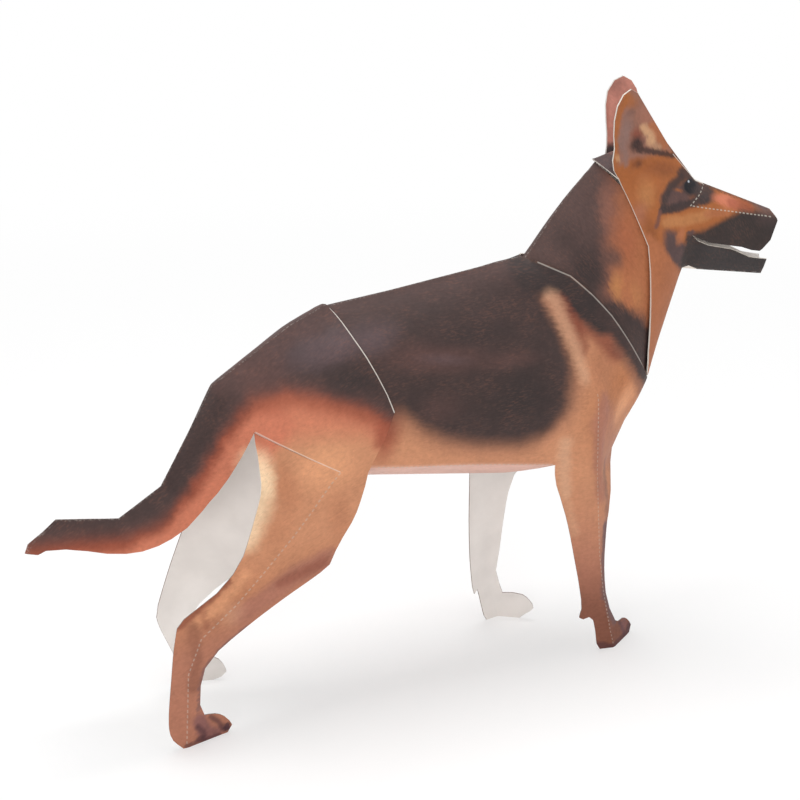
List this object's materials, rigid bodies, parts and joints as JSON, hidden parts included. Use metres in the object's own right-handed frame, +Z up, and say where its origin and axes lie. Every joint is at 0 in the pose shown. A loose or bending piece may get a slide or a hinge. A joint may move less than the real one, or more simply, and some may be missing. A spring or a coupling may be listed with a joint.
{
  "type": "origami dog",
  "caption": "Standing shepherd-like dog folded from printed card: rounded hollow body, flat legs, turned head with open mouth, upright ears and a low tail.",
  "frame": {"origin": "on the ground under the middle of the dog's length and width", "axes": "+X towards the nose, +Y to the dog's left, which is its far side in the picture, +Z up"},
  "size_m": [0.2414, 0.0474, 0.1853],
  "materials": {
    "torso_card": "printed card, matt",
    "rump_card": "printed card, matt",
    "neck_card": "printed card, matt",
    "head_card": "printed card, matt",
    "crown_card": "printed card, matt"
  },
  "bodies": {
    "root": {"torso": "torso_card", "rump": "rump_card", "neck": "neck_card", "head": "head_card", "crown": "crown_card"}
  },
  "joints": []
}
